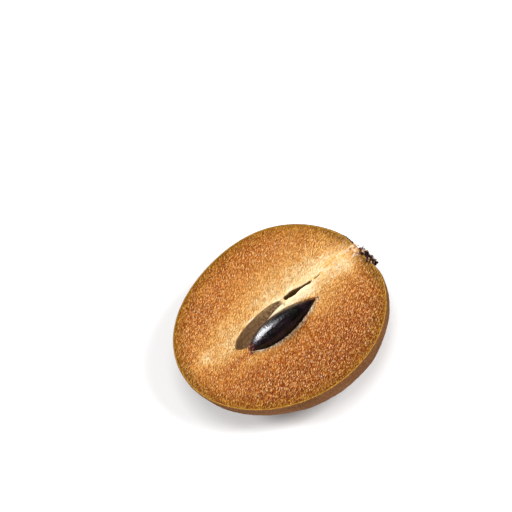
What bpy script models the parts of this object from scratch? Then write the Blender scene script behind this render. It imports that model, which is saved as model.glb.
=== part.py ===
"""A sapodilla cut in half lengthwise, lying on its rounded side with the cut face up.

Metres, +Z up. The origin is the centre of the small flat spot that the half rests on. +X runs along the
fruit towards the stem end, and the cut face is level at z = FACE_HEIGHT.
"""

import math
import random

import bpy
import numpy as np

MM = 0.001

# The fruit: a face radius that varies with angle, over half of an ellipsoid.
FACE_RADIUS = 29.8 * MM
LENGTHENING = 2.38 * MM
LENGTHENING_ANGLE = math.radians(-13.3)
EGG = 0.44 * MM
EGG_ANGLE = math.radians(60.0)
SQUARENESS = 0.28 * MM
SQUARENESS_ANGLE = math.radians(-20.4)
DEPTH = 27.5 * MM
FLAT_SPOT_DEPTH = 0.8 * MM
FACE_HEIGHT = DEPTH - FLAT_SPOT_DEPTH
SIDES_AROUND = 96
RINGS_DOWN = 20

# The stem end is pressed flat where the calyx sits.
STEM_ANGLE = math.radians(6.4)
STEM_SEAT = 30.2 * MM
STEM_SEAT_SOFTNESS = 0.25 * MM

# The seed, rounded at its base and pointed at its tip, lies in the face plane a little off the axis.
SEED_LENGTH = 24.3 * MM
SEED_THICKNESS = 7.6 * MM
SEED_BREADTH = 9.6 * MM
SEED_MIDDLE = (-0.15 * MM, -2.0 * MM)
SEED_ANGLE = math.radians(0.8)
SEED_SINK = 1.4 * MM
SEED_BASE_POWER = 0.61
SEED_TIP_POWER = 0.9
SEED_STATIONS = 30
SEED_SIDES = 28

# The beak at the base of the seed, where it hung from the core.
BEAK_LENGTH = 2.6 * MM
BEAK_RADIUS = 1.15 * MM
BEAK_REACH = 0.9 * MM
BEAK_STATIONS = 10
BEAK_SIDES = 14

# Pieces that touch keep this much room.
GAP = 0.3 * MM
POCKET_ROOM = 0.4 * MM

# The empty locule beside the seed, and the slit where it closes towards the stem.
LOCULE_MIDDLE = (-5.5 * MM, 2.1 * MM)
LOCULE_LENGTH = 20.2 * MM
LOCULE_WIDTH = 6.0 * MM
LOCULE_DEPTH = 3.6 * MM
LOCULE_ANGLE = math.radians(8.6)
SLIT_MIDDLE = (8.1 * MM, 3.85 * MM)
SLIT_LENGTH = 8.2 * MM
SLIT_WIDTH = 1.5 * MM
SLIT_DEPTH = 2.6 * MM
SLIT_ANGLE = math.radians(-1.0)
HOLLOW_STATIONS = 24
HOLLOW_SIDES = 24

# The dried calyx, cut through with the fruit.
CALYX_MIDDLE_Y = 0.85 * MM
CALYX_RADIUS = 5.7 * MM
CALYX_LOBES = 6
CALYX_NOTCH = 1.2 * MM
CALYX_BASE = 0.7 * MM
CALYX_RIM = 1.1 * MM
CALYX_RIM_PLACE = 0.74
CALYX_RIM_WIDTH = 0.17
CALYX_SCAR = 0.9 * MM
CALYX_SCAR_RADIUS = 0.24
CALYX_RIM_LEAST = 0.3
CALYX_EDGE_THINNING = 0.4
CALYX_LOBE_FULLNESS = 0.7
CALYX_SMALLEST_LOBE = 0.6
CALYX_SWAY = 0.12
CALYX_RINGS = 12
CALYX_STEPS = 44
CALYX_SEED = 7

FLESH_COLOUR = (0.52, 0.25, 0.07, 1.0)
SKIN_COLOUR = (0.36, 0.22, 0.12, 1.0)
SEED_COLOUR = (0.012, 0.008, 0.010, 1.0)
CALYX_COLOUR = (0.07, 0.045, 0.03, 1.0)


def clear_scene():
    for obj in list(bpy.data.objects):
        bpy.data.objects.remove(obj, do_unlink=True)


def make_material(name, colour, roughness, metallic=0.0):
    material = bpy.data.materials.new(name)
    material.use_nodes = True
    shader = material.node_tree.nodes["Principled BSDF"]
    shader.inputs["Base Color"].default_value = colour
    shader.inputs["Roughness"].default_value = roughness
    shader.inputs["Metallic"].default_value = metallic
    return material


def add_object(name, points, faces, materials):
    """An object at the origin from points and faces, with its materials in order."""
    mesh = bpy.data.meshes.new(name)
    mesh.from_pydata([tuple(point) for point in points], [], faces)
    mesh.validate()
    for material in materials:
        mesh.materials.append(material)
    obj = bpy.data.objects.new(name, mesh)
    bpy.context.scene.collection.objects.link(obj)
    return obj


def shade_round(obj, sharp_degrees=40.0):
    obj.data.shade_smooth()
    obj.data.set_sharp_from_angle(angle=math.radians(sharp_degrees))


def ring_faces(lower, upper):
    """Four-sided faces between two rings of point numbers, facing out when the rings turn left-handed."""
    count = len(lower)
    return [
        (lower[i], lower[(i + 1) % count], upper[(i + 1) % count], upper[i])
        for i in range(count)
    ]


def face_radius(angle):
    """The cut face's radius: a mean with two, three and four waves round the face."""
    return (
        FACE_RADIUS
        + LENGTHENING * np.cos(2 * (angle - LENGTHENING_ANGLE))
        + EGG * np.cos(3 * (angle - EGG_ANGLE))
        + SQUARENESS * np.cos(4 * (angle - SQUARENESS_ANGLE))
    )


def press_stem_end(points):
    """Points beyond the calyx's seat are brought back to its plane, with a soft edge round it."""
    outward = np.array([math.cos(STEM_ANGLE), math.sin(STEM_ANGLE), 0.0])
    beyond = points @ outward - STEM_SEAT
    soft = STEM_SEAT_SOFTNESS
    pressed = -soft * np.log1p(np.exp(-beyond / soft))
    return points + (pressed - beyond)[:, None] * outward


def make_fruit_body(flesh, skin):
    """The half before its hollows: rings from the face's edge down to the flat spot."""
    angles = np.arange(SIDES_AROUND) * 2 * math.pi / SIDES_AROUND
    radius = face_radius(angles)
    lowest = math.asin(FACE_HEIGHT / DEPTH)
    rings = []
    for step in range(RINGS_DOWN + 1):
        latitude = lowest * step / RINGS_DOWN
        ring = np.column_stack(
            [
                radius * math.cos(latitude) * np.cos(angles),
                radius * math.cos(latitude) * np.sin(angles),
                np.full(SIDES_AROUND, FACE_HEIGHT - DEPTH * math.sin(latitude)),
            ]
        )
        rings.append(press_stem_end(ring))
    points = np.concatenate(rings)
    numbers = np.arange(len(points)).reshape(RINGS_DOWN + 1, SIDES_AROUND).tolist()
    faces = [tuple(numbers[0]), tuple(reversed(numbers[-1]))]
    for upper, lower in zip(numbers, numbers[1:]):
        faces += ring_faces(lower, upper)
    body = add_object("fruit_half", points, faces, [flesh, skin])
    for polygon in body.data.polygons:
        polygon.material_index = 0 if polygon.index == 0 else 1
    return body


def spindle(length, profile, half_width, half_depth, stations, sides):
    """A closed spindle along X: at each station an ellipse as large as the profile says, with a pole at each end."""
    turn = np.arange(sides) * 2 * math.pi / sides
    along = -np.cos(math.pi * np.arange(1, stations) / stations)
    size = profile(along)
    points = [(-length / 2, 0.0, 0.0)]
    for s, scale in zip(along, size):
        for angle in turn:
            y = half_width * scale * math.cos(angle)
            z = half_depth * scale * math.sin(angle)
            points.append((s * length / 2, y, z))
    points.append((length / 2, 0.0, 0.0))
    numbers = (1 + np.arange(len(along) * sides)).reshape(len(along), sides).tolist()
    last = len(points) - 1
    faces = []
    for i in range(sides):
        after = (i + 1) % sides
        faces.append((0, numbers[0][after], numbers[0][i]))
        faces.append((last, numbers[-1][i], numbers[-1][after]))
    for near, far in zip(numbers, numbers[1:]):
        faces += ring_faces(near, far)
    return np.array(points), faces


def turned_in_face(points, angle, middle, height):
    """Points turned about Z and carried to their place at a height in the fruit."""
    x = middle[0] + points[:, 0] * math.cos(angle) - points[:, 1] * math.sin(angle)
    y = middle[1] + points[:, 0] * math.sin(angle) + points[:, 1] * math.cos(angle)
    return np.column_stack([x, y, height + points[:, 2]])


def seed_profile(s):
    """Full at the base side of the middle, rounded at s = -1 and pointed at s = 1, with a largest value of 1."""
    power_sum = SEED_BASE_POWER + SEED_TIP_POWER
    widest = (SEED_BASE_POWER - SEED_TIP_POWER) / power_sum
    most = (1 + widest) ** SEED_BASE_POWER * (1 - widest) ** SEED_TIP_POWER
    return (1 + s) ** SEED_BASE_POWER * (1 - s) ** SEED_TIP_POWER / most


def lens_profile(s):
    """A plain ellipse's taper."""
    return np.sqrt(1 - s**2)


def seed_shape(room):
    """The seed's points and faces, with this much added all round."""
    points, faces = spindle(
        SEED_LENGTH + 2 * room,
        seed_profile,
        SEED_THICKNESS / 2 + room,
        SEED_BREADTH / 2 + room,
        SEED_STATIONS,
        SEED_SIDES,
    )
    height = FACE_HEIGHT - SEED_SINK
    return turned_in_face(points, SEED_ANGLE, SEED_MIDDLE, height), faces


def beak_shape(room):
    """The small rounded beak at the seed's base."""
    radius = BEAK_RADIUS + room
    points, faces = spindle(
        BEAK_LENGTH + 2 * room, lens_profile, radius, radius, BEAK_STATIONS, BEAK_SIDES
    )
    points[:, 0] -= SEED_LENGTH / 2 + BEAK_REACH - BEAK_LENGTH / 2
    height = FACE_HEIGHT - SEED_SINK
    return turned_in_face(points, SEED_ANGLE, SEED_MIDDLE, height), faces


def hollow_shape(length, width, depth, angle, middle):
    points, faces = spindle(
        length, lens_profile, width / 2, depth, HOLLOW_STATIONS, HOLLOW_SIDES
    )
    return turned_in_face(points, angle, middle, FACE_HEIGHT), faces


def add_cutter(name, shape, material):
    points, faces = shape
    cutter = add_object(name, points, faces, [material])
    cutter.hide_render = True
    cutter.display_type = "WIRE"
    return cutter


def cut(body, cutter):
    modifier = body.modifiers.new(cutter.name, "BOOLEAN")
    modifier.operation = "DIFFERENCE"
    modifier.object = cutter


def make_fruit_half():
    flesh = make_material("flesh", FLESH_COLOUR, 0.45)
    skin = make_material("skin", SKIN_COLOUR, 0.8)
    body = make_fruit_body(flesh, skin)
    locule = hollow_shape(LOCULE_LENGTH, LOCULE_WIDTH, LOCULE_DEPTH, LOCULE_ANGLE, LOCULE_MIDDLE)
    slit = hollow_shape(SLIT_LENGTH, SLIT_WIDTH, SLIT_DEPTH, SLIT_ANGLE, SLIT_MIDDLE)
    cut(body, add_cutter("seed_pocket_cutter", seed_shape(POCKET_ROOM), flesh))
    cut(body, add_cutter("beak_pocket_cutter", beak_shape(POCKET_ROOM), flesh))
    cut(body, add_cutter("locule_cutter", locule, flesh))
    cut(body, add_cutter("slit_cutter", slit, flesh))
    shade_round(body)


def make_seed():
    """The seed with its beak joined on."""
    material = make_material("seed_coat", SEED_COLOUR, 0.15)
    points, faces = seed_shape(0.0)
    seed = add_object("seed", points, faces, [material])
    beak = add_cutter("seed_beak", beak_shape(0.0), material)
    join = seed.modifiers.new("beak", "BOOLEAN")
    join.operation = "UNION"
    join.object = beak
    shade_round(seed)


def calyx_lobes(turn):
    """How far each direction is into a lobe: 0 in the notches, and up to the lobe's own size at its middle."""
    draw = random.Random(CALYX_SEED)
    sway = draw.uniform(0.0, 2 * math.pi)
    sizes = np.array([draw.uniform(CALYX_SMALLEST_LOBE, 1.0) for _ in range(CALYX_LOBES)])
    bent = turn + CALYX_SWAY * np.sin(2 * turn + sway)
    place = bent * CALYX_LOBES / (2 * math.pi)
    number = np.round(place).astype(int) % CALYX_LOBES
    return np.abs(np.cos(math.pi * place)) ** CALYX_LOBE_FULLNESS * sizes[number]


def calyx_height(out, lobe):
    """A thin disc with a raised lobed rim and a low scar where the stem came off; out is 1 at the edge."""
    rim = np.exp(-(((out - CALYX_RIM_PLACE) / CALYX_RIM_WIDTH) ** 2))
    scar = np.exp(-((out / CALYX_SCAR_RADIUS) ** 2))
    disc = CALYX_BASE * (1 - CALYX_EDGE_THINNING * out**6)
    return disc + CALYX_RIM * rim * (CALYX_RIM_LEAST + (1 - CALYX_RIM_LEAST) * lobe) + CALYX_SCAR * scar


def calyx_middle(outward, across):
    """The middle of the calyx's back: a gap outside the seat, in the face plane."""
    off_axis = (STEM_SEAT * math.sin(STEM_ANGLE) - CALYX_MIDDLE_Y) / math.cos(STEM_ANGLE)
    return outward * (STEM_SEAT + GAP) + across * off_axis + np.array([0.0, 0.0, FACE_HEIGHT])


def calyx_points():
    """The back and then the front of a half disc below the face plane, each from its middle outwards."""
    outward = np.array([math.cos(STEM_ANGLE), math.sin(STEM_ANGLE), 0.0])
    across = np.array([math.sin(STEM_ANGLE), -math.cos(STEM_ANGLE), 0.0])
    down = np.array([0.0, 0.0, -1.0])
    middle = calyx_middle(outward, across)
    turn = math.pi * np.arange(CALYX_STEPS + 1) / CALYX_STEPS
    lobe = calyx_lobes(turn)
    edge = CALYX_RADIUS - CALYX_NOTCH * (1 - lobe)
    flat = np.outer(edge * np.cos(turn), across) + np.outer(edge * np.sin(turn), down)
    shares = np.arange(1, CALYX_RINGS + 1) / CALYX_RINGS
    back = [middle] + [point for share in shares for point in middle + share * flat]
    front = [middle + outward * calyx_height(0.0, 0.0)]
    for share in shares:
        raised = np.outer(calyx_height(share, lobe), outward)
        front += list(middle + share * flat + raised)
    return back + front


def half_disc_faces(rings, steps):
    """Faces of a half disc with a back and a front, whose points run from the middle outwards, ring by ring."""
    columns = steps + 1
    front = 1 + rings * columns

    def number(side, ring, step):
        return side + (0 if ring == 0 else 1 + (ring - 1) * columns + step)

    faces = []
    for step in range(steps):
        after = step + 1
        faces.append((number(front, 0, 0), number(front, 1, step), number(front, 1, after)))
        faces.append((number(0, 0, 0), number(0, 1, after), number(0, 1, step)))
        for ring in range(1, rings):
            corners = [(ring, step), (ring + 1, step), (ring + 1, after), (ring, after)]
            faces.append(tuple(number(front, *corner) for corner in corners))
            faces.append(tuple(number(0, *corner) for corner in reversed(corners)))
        edge = [(front, step), (0, step), (0, after), (front, after)]
        faces.append(tuple(number(side, rings, at) for side, at in edge))
    for ring in range(rings):
        cut_face = [(0, ring), (0, ring + 1), (front, ring + 1), (front, ring)]
        faces.append(tuple(number(side, at, 0) for side, at in cut_face))
        faces.append(tuple(number(side, at, steps) for side, at in reversed(cut_face)))
    return faces


def make_calyx():
    """The dried calyx, cut through by the face plane."""
    material = make_material("calyx", CALYX_COLOUR, 0.9)
    faces = half_disc_faces(CALYX_RINGS, CALYX_STEPS)
    shade_round(add_object("calyx", calyx_points(), faces, [material]))


clear_scene()
make_fruit_half()
make_seed()
make_calyx()
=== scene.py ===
"""The looks of a sapodilla half: grainy flesh and its hollows, scurfy skin, glossy seed, dry calyx."""

import math

import bpy
import numpy as np
from mathutils import Matrix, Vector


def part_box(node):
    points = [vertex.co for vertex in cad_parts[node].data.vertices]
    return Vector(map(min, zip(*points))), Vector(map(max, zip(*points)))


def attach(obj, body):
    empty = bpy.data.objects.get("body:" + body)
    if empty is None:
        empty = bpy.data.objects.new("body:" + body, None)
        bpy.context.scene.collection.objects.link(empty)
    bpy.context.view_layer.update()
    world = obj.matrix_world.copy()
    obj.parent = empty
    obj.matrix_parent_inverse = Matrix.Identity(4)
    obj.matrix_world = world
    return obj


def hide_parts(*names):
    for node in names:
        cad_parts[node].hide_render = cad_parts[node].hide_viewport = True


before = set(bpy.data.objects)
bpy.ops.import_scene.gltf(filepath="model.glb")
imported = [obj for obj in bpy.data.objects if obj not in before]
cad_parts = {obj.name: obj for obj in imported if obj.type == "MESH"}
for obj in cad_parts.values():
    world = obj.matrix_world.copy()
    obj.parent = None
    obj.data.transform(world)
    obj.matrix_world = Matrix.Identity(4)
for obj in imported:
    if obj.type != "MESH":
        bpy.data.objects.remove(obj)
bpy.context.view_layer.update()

# Shapes are worked out in millimetres, and become metres when a mesh is made.
MM = 0.001
UP = 2
FACE_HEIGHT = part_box("fruit_half")[1].z / MM

# The fruit's outline and depth, as in the part's source; each wave has its number, height and angle.
FACE_RADIUS = 29.8
FACE_WAVES = ((2, 2.38, -13.3), (3, 0.44, 60.0), (4, 0.28, -20.4))
DEPTH = 27.5
STEM_ANGLE = math.radians(6.4)
STEM_SEAT = 30.2
STEM_SEAT_SOFTNESS = 0.25
SKIN_THICKNESS = 0.38

# The seed and its pocket, as in the part's source.
SEED_LENGTH = 24.3
SEED_THICKNESS = 7.6
SEED_BREADTH = 9.6
SEED_MIDDLE = (-0.15, -2.0)
SEED_ANGLE = math.radians(0.8)
SEED_SINK = 1.4
SEED_BASE_POWER = 0.61
SEED_TIP_POWER = 0.9
POCKET_ROOM = 0.16
POCKET_NEAR_ROOM = 0.34

# The empty locule beside the seed and the slit where it closes.
LOCULE_MIDDLE = (-5.45, 1.87)
LOCULE_LENGTH = 20.3
LOCULE_WIDTH = 5.9
LOCULE_DEPTH = 3.6
LOCULE_ANGLE = math.radians(9.2)
LOCULE_NARROWING = 0.5
SLIT_START = (4.2, 3.74)
SLIT_LENGTH = 9.7
SLIT_WIDTH = 1.55
SLIT_THIN_WIDTH = 0.7
SLIT_DEPTH = 2.6
SLIT_ANGLE = math.radians(-2.0)
CRACK = ((12.6, 3.45), (16.6, 3.4), 0.24, 0.16)

# The calyx, as in the part's source.
CALYX_MIDDLE_Y = 0.85
CALYX_RADIUS = 5.7
CALYX_LOBES = 6
CALYX_NOTCH = 1.2

# Numbers that stir a cell's place into a random value.
CELL_PRIMES = (73856093, 19349663, 83492791)
SEED_PRIME = 2654435761
STIRS = ((13, 1274126177), (16, 2246822519))
LOW_BITS = np.int64(0x7FFFFFFF)
SIXTEEN_BITS = 0xFFFF

# The photograph's view of the cut face, and the floor.
IMAGE_SIDE = 512
PIXEL_SIZE = 0.2883
FACE_CENTRE_PIXEL = (277.0, 319.5)
FACE_CENTRE = (-0.92, 0.0)
VIEW_ELEVATION = math.radians(64.2)
VIEW_ROLL = math.radians(36.9)
VIEW_DISTANCE = 1.2
FLOOR_REACH = 3000.0

# Soft square lights: direction from the half, distance and side in metres, and power in watts.
OVERHEAD = ((0.10, -0.22, 1.0), 1.3, 0.3, 11.5)
NEAR_RIGHT = ((0.5, -0.5, 1.0), 1.3, 0.3, 19.0)
FAR_LEFT = ((-0.5, 0.2, 1.0), 1.3, 0.3, 11.0)
RAKE = ((-0.37, 0.73, 0.52), 1.2, 0.4, 20.0)
STRIP = ((-0.44, 0.45, 0.78), 0.9, 0.8, 47.0)
STRIP_LINE = (0.86, 0.0, 0.51)
STRIP_COLOUR = (0.93, 0.95, 1.0)
AIM_HEIGHT = 0.02
WORLD_STRENGTH = 0.42


def lattice_value(cell, seed):
    """A random value from -1 to 1 for each whole-number cell, always the same for the same seed."""
    first, second, third = (cell[..., axis] * prime for axis, prime in enumerate(CELL_PRIMES))
    number = (first ^ second ^ third ^ (seed * SEED_PRIME)) & LOW_BITS
    for shift, prime in STIRS:
        number = ((number ^ (number >> shift)) * prime) & LOW_BITS
    return 2 * ((number >> 7) & SIXTEEN_BITS) / SIXTEEN_BITS - 1.0


def smooth_noise(points, size, seed):
    """Random values on a lattice of this size, blended smoothly between its corners."""
    scaled = points / size
    base = np.floor(scaled).astype(np.int64)
    part = scaled - base
    part = part * part * part * (part * (part * 6 - 15) + 10)
    total = np.zeros(points.shape[:-1])
    for corner in np.ndindex(2, 2, 2):
        weight = np.ones(points.shape[:-1])
        for axis in range(3):
            weight = weight * (part[..., axis] if corner[axis] else 1 - part[..., axis])
        total += weight * lattice_value(base + np.array(corner), seed)
    return total


def layered_noise(points, size, seed, layers=3):
    """Smooth noise with finer and weaker layers added, each half as large as the last."""
    total = np.zeros(points.shape[:-1])
    strength = 1.0
    for layer in range(layers):
        total += strength * smooth_noise(points, size, seed + layer)
        size *= 0.5
        strength *= 0.5
    return total


# How far a grain's middle wanders in its cell, and how sharply it stands out.
GRAIN_WANDER = 0.42
GRAIN_CONTRAST = 1.6


def grains(points, size, seed):
    """Rounded grains on the face: 1 at each grain's middle and about 0 where two grains meet."""
    scaled = points[..., :2] / size
    base = np.floor(scaled).astype(np.int64)
    nearest = np.full(scaled.shape[:-1], 9.0)
    second = nearest
    for step in np.ndindex(3, 3):
        cell = base + np.array(step) - 1
        cell = np.concatenate([cell, np.zeros_like(cell[..., :1])], axis=-1)
        wander = np.stack([lattice_value(cell, seed + axis) for axis in range(2)], axis=-1)
        to_middle = cell[..., :2] + (0.5 + GRAIN_WANDER * wander) - scaled
        away = np.hypot(to_middle[..., 0], to_middle[..., 1])
        second = np.minimum(second, np.maximum(nearest, away))
        nearest = np.minimum(nearest, away)
    return np.clip((second - nearest) * GRAIN_CONTRAST, 0.0, 1.0)


def smooth_step(low, high, value):
    """0 below low, 1 above high and a smooth rise between."""
    share = np.clip((value - low) / (high - low), 0.0, 1.0)
    return share * share * (3 - 2 * share)


def all_round(count):
    """This many angles, evenly round a turn."""
    return np.arange(count) * 2 * math.pi / count


def unit(vectors):
    """The vectors with length 1."""
    return vectors / np.linalg.norm(vectors, axis=-1, keepdims=True)


def point_field(x, y, z=0.0):
    """Points from arrays of their coordinates, with one height or a height for each."""
    return np.stack([x, y, np.broadcast_to(z, np.shape(x))], axis=-1)


def face_radius(angle):
    """The cut face's radius: a mean with two, three and four waves round the face."""
    radius = FACE_RADIUS
    for number, height, crest in FACE_WAVES:
        radius = radius + height * np.cos(number * (angle - math.radians(crest)))
    return radius


def press_stem_end(points, inset=0.0):
    """Points beyond the calyx's seat are brought back to its plane, with a soft edge round it."""
    outward = np.array([math.cos(STEM_ANGLE), math.sin(STEM_ANGLE), 0.0])
    beyond = points @ outward - (STEM_SEAT - inset)
    pressed = -STEM_SEAT_SOFTNESS * np.log1p(np.exp(-beyond / STEM_SEAT_SOFTNESS))
    return points + (pressed - beyond)[..., None] * outward


def spindle(s, base_power, tip_power):
    """A profile from 0 at both ends to 1 at its widest; the smaller a power, the blunter that end."""
    held = np.clip(s, -1.0, 1.0)
    widest = (base_power - tip_power) / (base_power + tip_power)
    most = (1 + widest) ** base_power * (1 - widest) ** tip_power
    return (1 + held) ** base_power * (1 - held) ** tip_power / most


def turned(x, y, angle, middle):
    """A local place turned about the vertical and carried to its middle."""
    return (
        middle[0] + x * math.cos(angle) - y * math.sin(angle),
        middle[1] + x * math.sin(angle) + y * math.cos(angle),
    )


def local(x, y, angle, middle):
    """The place in the turned frame of a hollow or the seed: the reverse of turned."""
    dx = x - middle[0]
    dy = y - middle[1]
    return (
        dx * math.cos(angle) + dy * math.sin(angle),
        -dx * math.sin(angle) + dy * math.cos(angle),
    )


def band(x, y, start, end, start_width, end_width):
    """1 along a straight run from start to end, fading sideways over a width that changes along it."""
    run = np.array(end) - np.array(start)
    share = ((x - start[0]) * run[0] + (y - start[1]) * run[1]) / (run @ run)
    held = np.clip(share, 0.0, 1.0)
    width = start_width + (end_width - start_width) * held
    away = np.hypot(x - start[0] - held * run[0], y - start[1] - held * run[1])
    return np.exp(-((away / width) ** 2))


def ring_quads(rows, columns):
    """Quads between neighbouring rows of a grid whose columns run all the way round."""
    number = np.arange(rows * columns).reshape(rows, columns)
    after = np.roll(number, -1, axis=1)
    quads = np.stack([number[:-1], after[:-1], after[1:], number[1:]], axis=-1)
    return quads.reshape(-1, 4)


def add_object(name, data):
    """An object of the scene with this data."""
    obj = bpy.data.objects.new(name, data)
    bpy.context.scene.collection.objects.link(obj)
    return obj


def make_mesh(name, points, faces, attributes=None):
    """A smooth-shaded object from points in millimetres, faces and values for each point."""
    mesh = bpy.data.meshes.new(name)
    mesh.from_pydata((points * MM).tolist(), [], faces)
    for key, values in (attributes or {}).items():
        kind, field = ("FLOAT", "value") if values.ndim == 1 else ("FLOAT_VECTOR", "vector")
        data = mesh.attributes.new(key, kind, "POINT").data
        data.foreach_set(field, values.astype(np.float32).ravel())
    mesh.shade_smooth()
    return add_object(name, mesh)


def with_poles(values):
    """The values of rows of points in one list, then the mean of the first row and that of the last."""
    ends = np.stack([values[0].mean(axis=0), values[-1].mean(axis=0)])
    return np.concatenate([values.reshape((-1,) + values.shape[2:]), ends])


def closed_rings(name, groups, attributes=None):
    """One object of closed surfaces: rows of points run all the way round and close on two poles."""
    points = []
    faces = []
    start = 0
    for rows in groups:
        count, columns = rows.shape[:2]
        numbers = np.arange(columns)
        after = np.roll(numbers, -1)
        pole = count * columns
        last = pole - columns
        near = np.stack([np.full(columns, pole), after, numbers], axis=-1)
        far = np.stack([np.full(columns, pole + 1), last + numbers, last + after], axis=-1)
        for part in (ring_quads(count, columns), near, far):
            faces += (part + start).tolist()
        points.append(with_poles(rows))
        start += pole + 2
    values = {}
    for key, parts in (attributes or {}).items():
        values[key] = np.concatenate([with_poles(part) for part in parts])
    return make_mesh(name, np.concatenate(points), faces, values)


# Places of a Mix node's sockets when it mixes colours.
MIX_SHARE = 0
MIX_FIRST = 6
MIX_SECOND = 7
MIX_RESULT = 2


class Shade:
    """A socket of a material's graph, so that shader maths reads as an expression."""

    def __init__(self, graph, socket):
        self.graph = graph
        self.socket = socket

    def maths(self, operation, first, second):
        """A value worked out from two others."""
        return self.graph.add("Math", {"operation": operation}, {0: first, 1: second})

    def __add__(self, other):
        return self.maths("ADD", self, other)

    def __sub__(self, other):
        return self.maths("SUBTRACT", self, other)

    def __rsub__(self, other):
        return self.maths("SUBTRACT", other, self)

    def __mul__(self, other):
        return self.maths("MULTIPLY", self, other)

    def __pow__(self, other):
        return self.maths("POWER", self, other)

    __radd__ = __add__
    __rmul__ = __mul__

    def clamp(self):
        """The value held between 0 and 1."""
        return self.graph.add("Clamp", {}, {"Value": self, "Min": 0.0, "Max": 1.0})

    def spread(self, low, high, new_low=0.0, new_high=1.0):
        """The range from low to high made another range, smoothly and with nothing outside it."""
        inputs = dict(enumerate((self, low, high, new_low, new_high)))
        return self.graph.add("MapRange", {"interpolation_type": "SMOOTHSTEP"}, inputs)


def set_stops(elements, stops):
    """A ramp's colours at their places; a new ramp already has two."""
    for place, _ in stops[2:]:
        elements.new(place)
    for element, (place, tint) in zip(elements, stops):
        element.position = place
        element.color = (*tint, 1.0)


class Finish:
    """A material whose nodes are added by one method and whose base colour is painted in layers."""

    def __init__(self, name):
        self.material = bpy.data.materials.new(name)
        self.material.use_nodes = True
        self.tree = self.material.node_tree
        self.tree.nodes.clear()
        self.place = self.add("TexCoord", {}, {}, "Object")
        self.base = None

    def add(self, kind, settings, inputs, output=0):
        """A node with its settings, then its sockets' values or links; one of its outputs."""
        node = self.tree.nodes.new("ShaderNode" + kind)
        for key, value in settings.items():
            if key == "stops":
                set_stops(node.color_ramp.elements, value)
            else:
                setattr(node, key, value)
        for key, value in inputs.items():
            socket = node.inputs[key]
            if isinstance(value, Shade):
                self.tree.links.new(value.socket, socket)
            elif socket.type == "RGBA":
                socket.default_value = (*value, 1.0)
            else:
                socket.default_value = value
        return Shade(self, node.outputs[output] if node.outputs else None)

    def stretched(self, scale, source=None):
        """The place, or another vector, with each axis scaled by its own amount."""
        return self.add("VectorMath", {"operation": "MULTIPLY"}, {0: source or self.place, 1: scale})

    def turned(self, degrees):
        """The place turned about the vertical axis."""
        inputs = {"Vector": self.place, "Angle": math.radians(degrees)}
        return self.add("VectorRotate", {"rotation_type": "Z_AXIS"}, inputs)

    def noise(self, scale, detail=2.0, roughness=0.5, source=None, distortion=0.0):
        """Soft random blotches; the larger the scale, the smaller they are."""
        inputs = {"Vector": source or self.place, "Scale": scale, "Detail": detail}
        inputs |= {"Roughness": roughness, "Distortion": distortion}
        return self.add("TexNoise", {}, inputs, "Fac")

    def cells(self, scale, source=None):
        """The distance from the middle of the nearest cell, and two random values for that cell."""
        inputs = {"Vector": source or self.place, "Scale": scale, "Randomness": 1.0}
        distance = self.add("TexVoronoi", {}, inputs, "Distance")
        tint = Shade(self, distance.socket.node.outputs["Color"])
        split = self.add("SeparateColor", {}, {"Color": tint}, "Red")
        return distance, split, Shade(self, split.socket.node.outputs["Green"])

    def value(self, name, kind="Fac"):
        """The mesh's own value of this name, or its vector."""
        return self.add("Attribute", {"attribute_name": name}, {}, kind)

    def ramp(self, value, *stops):
        """A colour for each value, blended between the stops' places."""
        return self.add("ValToRGB", {"stops": stops}, {"Fac": value}, "Color")

    def mix(self, share, first, second, blend="MIX"):
        """Two colours mixed by a share from 0 to 1."""
        settings = {"data_type": "RGBA", "blend_type": blend, "clamp_factor": True}
        inputs = {MIX_SHARE: share, MIX_FIRST: first, MIX_SECOND: second}
        return self.add("Mix", settings, inputs, MIX_RESULT)

    def paint(self, share, tint):
        """A share of another colour over the base colour."""
        self.base = self.mix(share, self.base, tint)

    def bump(self, height, distance, strength=1.0):
        """A surface direction tilted by a height, which is this many metres where its value is 1."""
        inputs = {"Height": height, "Distance": distance, "Strength": strength}
        return self.add("Bump", {}, inputs, "Normal")

    def surface(self, roughness, shine, **others):
        """The Principled shader with the base colour and these sockets, as the material's surface."""
        sockets = {"Base Color": self.base, "Roughness": roughness, "Specular IOR Level": shine}
        sockets |= {key.replace("_", " "): value for key, value in others.items()}
        shader = self.add("BsdfPrincipled", {}, sockets)
        self.add("OutputMaterial", {}, {"Surface": shader})
        return self.material


# The cut face: rings of points from the bottom of the seed's pocket over its lip and out to the skin.
FACE_COLUMNS = 760
FACE_ROWS = 112
POCKET_ROWS = 9
UNDER_ROWS = 4
UNDER_DEPTH = DEPTH - 1.2


def pocket_outline(turn):
    """The seed's outline with room round it, more on the near side: a point for each turn."""
    s = np.cos(turn)
    side = np.sin(turn)
    near_room = POCKET_ROOM + (POCKET_NEAR_ROOM - POCKET_ROOM) * side**2
    room = np.where(side > 0, POCKET_ROOM, near_room)
    half_width = SEED_THICKNESS / 2 * spindle(s, SEED_BASE_POWER, SEED_TIP_POWER)
    x = s * (SEED_LENGTH / 2 + POCKET_ROOM)
    y = np.sign(side) * (half_width + room * np.abs(side))
    return turned(x, y, SEED_ANGLE, SEED_MIDDLE)


def locule_room(x, y):
    """Room to the edge of a blunt oval that narrows to the slit, the way along, -1 to 1, and across."""
    along, across = local(x, y, LOCULE_ANGLE, LOCULE_MIDDLE)
    place = np.clip(2 * along / LOCULE_LENGTH, -1.0, 1.0)
    half_width = LOCULE_WIDTH / 2 * (1 - np.abs(place) ** 3) ** 0.6
    narrowing = LOCULE_NARROWING * smooth_step(0.1, 0.9, place)
    return half_width - np.abs(across) - narrowing, place, across


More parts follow.
